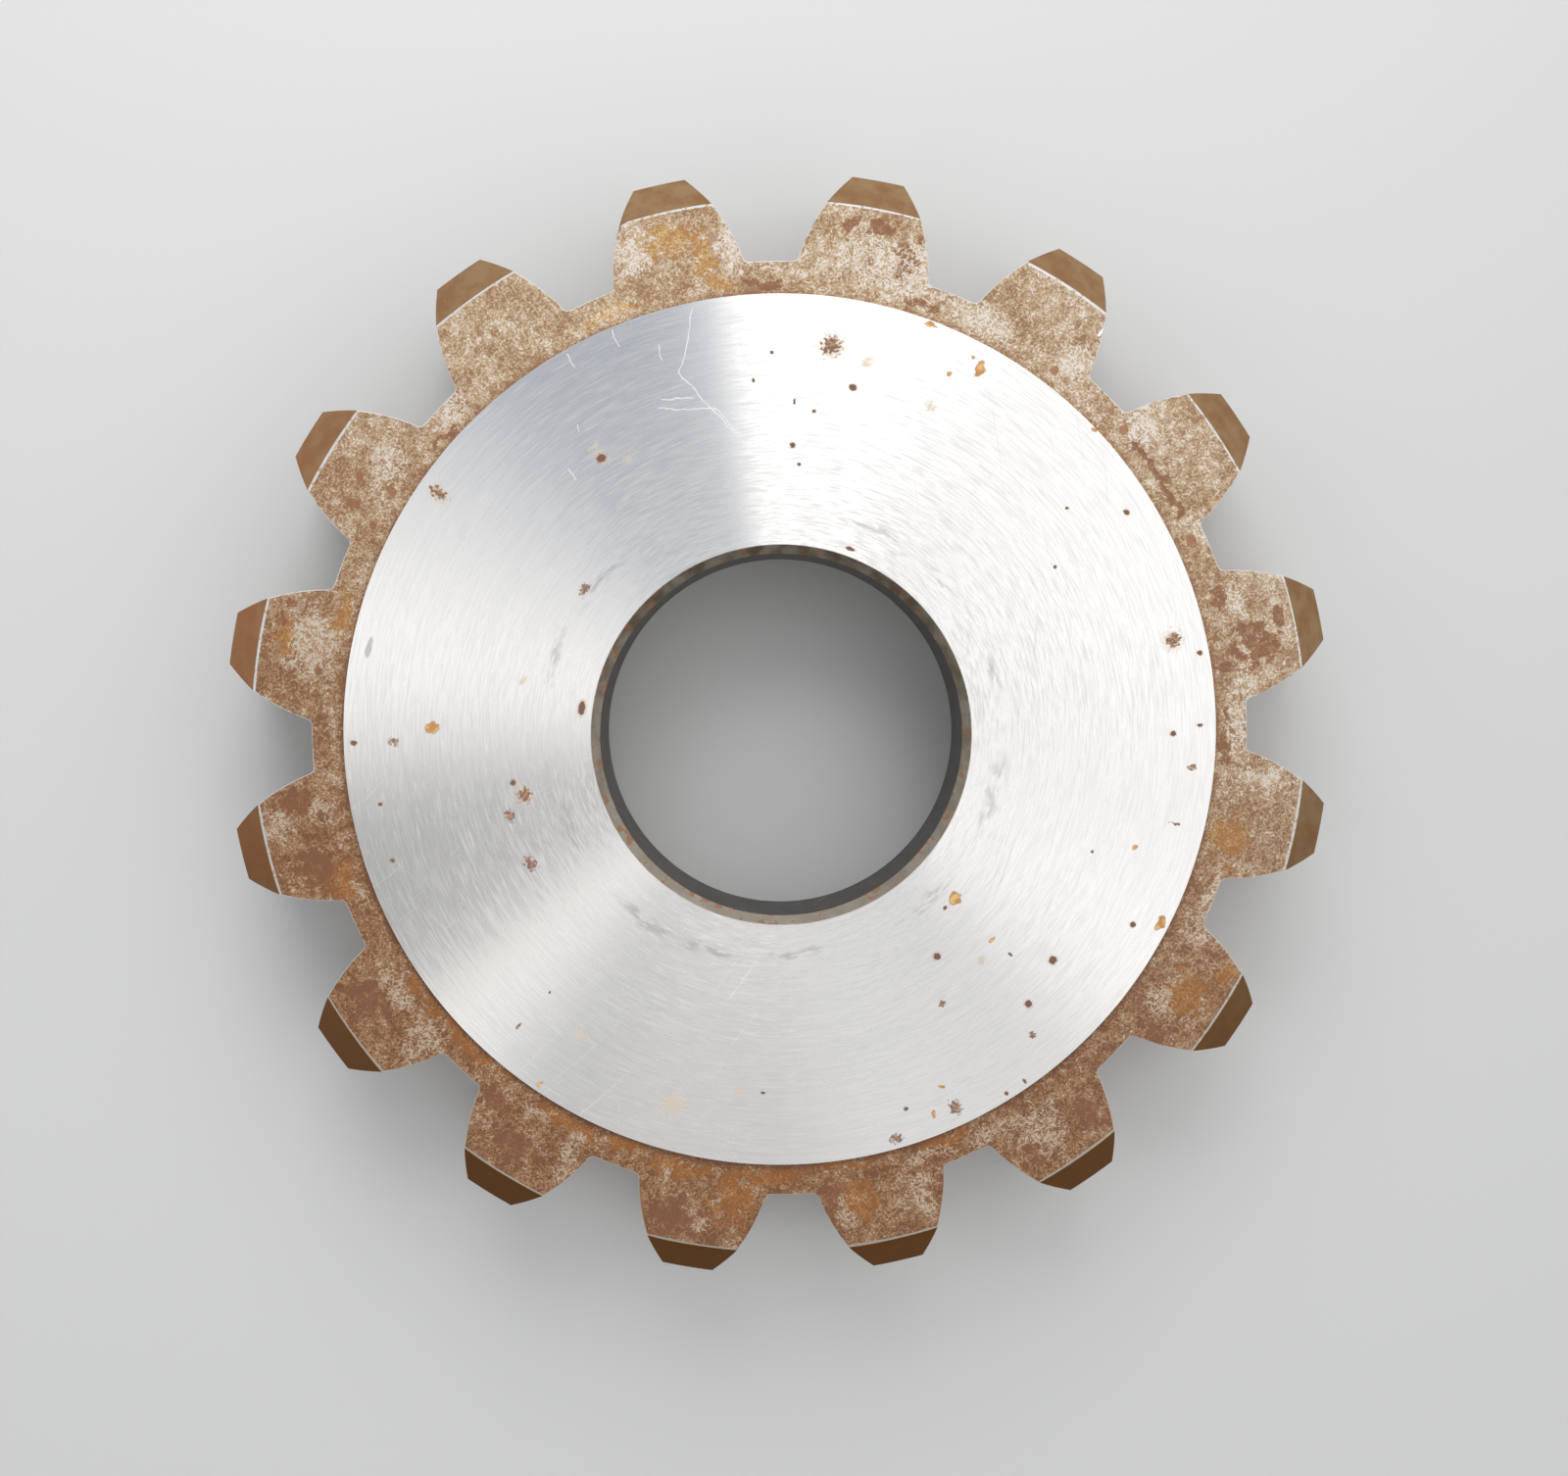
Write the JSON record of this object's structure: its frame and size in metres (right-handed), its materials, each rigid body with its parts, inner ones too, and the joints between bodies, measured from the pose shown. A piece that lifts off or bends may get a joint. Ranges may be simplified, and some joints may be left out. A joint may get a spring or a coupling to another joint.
{
  "type": "gear shaper cutter",
  "caption": "Disc-type pinion cutter: coarse involute spur teeth with bevelled tips, raised ground back face, plain bore and dished cutting face.",
  "frame": {"origin": "on the bore axis, in the plane of the cutting edge tips that the cutter lies on", "axes": "+Z along the bore axis towards the ground back face, +X through the middle of a tooth"},
  "size_m": [0.1422, 0.1422, 0.024],
  "materials": {
    "tool_steel": "ground bright on the back face, rust-stained on the tooth ring"
  },
  "bodies": {
    "root": {"shaper_cutter": "tool_steel"}
  },
  "joints": []
}
